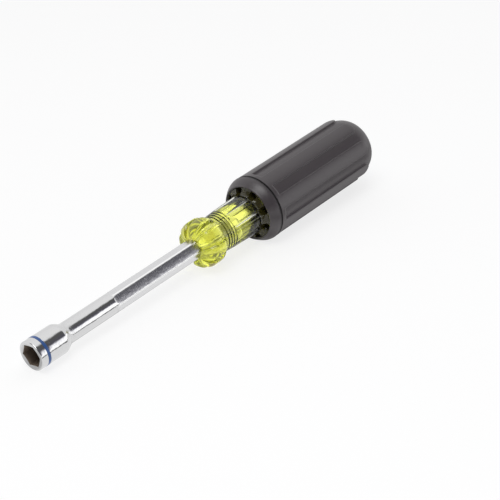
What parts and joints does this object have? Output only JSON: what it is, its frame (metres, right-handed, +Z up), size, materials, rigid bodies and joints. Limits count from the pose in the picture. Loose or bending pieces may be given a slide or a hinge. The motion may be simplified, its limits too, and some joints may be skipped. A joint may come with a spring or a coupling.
{
  "type": "nut driver",
  "caption": "Hollow-shank nut driver with a hexagon socket, a hexagon for a wrench on the shank, a clear core with a ball front and a ribbed cushion grip.",
  "frame": {"origin": "centre of the socket's mouth, on the tool's axis", "axes": "+X along the tool from the mouth to the butt, +Z up with two of the grip's ribs lowest, +Y to the left seen from the butt"},
  "size_m": [0.2222, 0.033, 0.033],
  "materials": {
    "plated_steel": "polished chrome plate, the hexagon's flats duller and mottled",
    "blue_band": "glossy blue band",
    "clear_acetate": "transparent yellow-green cellulose acetate, glossy",
    "black_rubber": "matt charcoal rubber",
    "blue_plastic": "glossy blue moulded plastic"
  },
  "bodies": {
    "root": {"shank": "plated_steel", "size_band": "blue_band", "handle_core": "clear_acetate", "cushion_grip": "black_rubber", "end_cap": "blue_plastic"}
  },
  "joints": []
}
